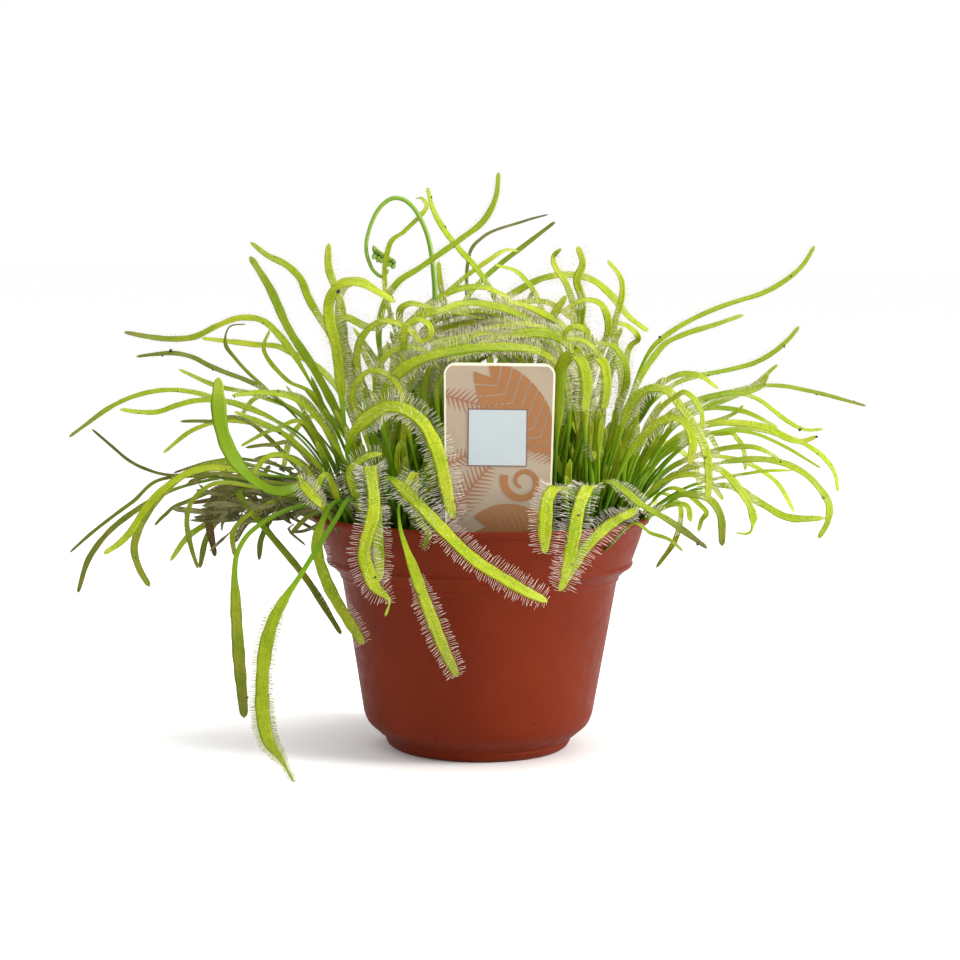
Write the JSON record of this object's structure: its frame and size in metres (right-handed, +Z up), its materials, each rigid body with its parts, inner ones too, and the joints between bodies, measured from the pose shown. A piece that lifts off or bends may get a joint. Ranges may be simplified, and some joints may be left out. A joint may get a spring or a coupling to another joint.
{
  "type": "potted sundew",
  "caption": "Small carnivorous sundew with narrow curling leaves, a coiled flower stalk and a card label, growing in a round tapered nursery pot.",
  "frame": {"origin": "centre of the pot's flat underside, on the pot's axis", "axes": "+Z up along the pot's axis; the label faces -Y; +X to the right as seen from the label's side"},
  "size_m": [0.2833, 0.1754, 0.2021],
  "materials": {
    "pot_plastic": "satin",
    "peat": "matte",
    "label_card": "satin",
    "leaf": "satin",
    "stalk": "satin",
    "bud": "matte"
  },
  "bodies": {
    "root": {"pot": "pot_plastic", "soil": "peat", "label": "label_card", "leaf_front_01": "leaf", "leaf_front_02": "leaf", "leaf_front_03": "leaf", "leaf_front_04": "leaf", "leaf_front_05": "leaf", "leaf_front_06": "leaf", "leaf_front_07": "leaf", "leaf_front_08": "leaf", "leaf_front_09": "leaf", "leaf_front_10": "leaf", "leaf_front_11": "leaf", "leaf_front_12": "leaf", "leaf_left_01": "leaf", "leaf_left_02": "leaf", "leaf_left_03": "leaf", "leaf_left_04": "leaf", "leaf_left_05": "leaf", "leaf_left_06": "leaf", "leaf_left_07": "leaf", "leaf_left_08": "leaf", "leaf_left_09": "leaf", "leaf_left_10": "leaf", "leaf_top_01": "leaf", "leaf_top_02": "leaf", "leaf_top_03": "leaf", "leaf_top_04": "leaf", "leaf_top_05": "leaf", "leaf_top_06": "leaf", "leaf_top_07": "leaf", "leaf_top_08": "leaf", "leaf_top_09": "leaf", "leaf_top_10": "leaf", "leaf_top_11": "leaf", "leaf_top_12": "leaf", "leaf_right_01": "leaf", "leaf_right_02": "leaf", "leaf_right_03": "leaf", "leaf_right_04": "leaf", "leaf_right_05": "leaf", "leaf_right_06": "leaf", "leaf_right_07": "leaf", "leaf_right_08": "leaf", "leaf_right_09": "leaf", "leaf_right_10": "leaf", "leaf_right_11": "leaf", "leaf_right_12": "leaf", "leaf_back_01": "leaf", "leaf_back_02": "leaf", "leaf_back_03": "leaf", "leaf_back_04": "leaf", "leaf_back_05": "leaf", "leaf_back_06": "leaf", "leaf_back_07": "leaf", "leaf_back_08": "leaf", "flower_stalk": "stalk", "flower_buds": "bud"}
  },
  "joints": []
}
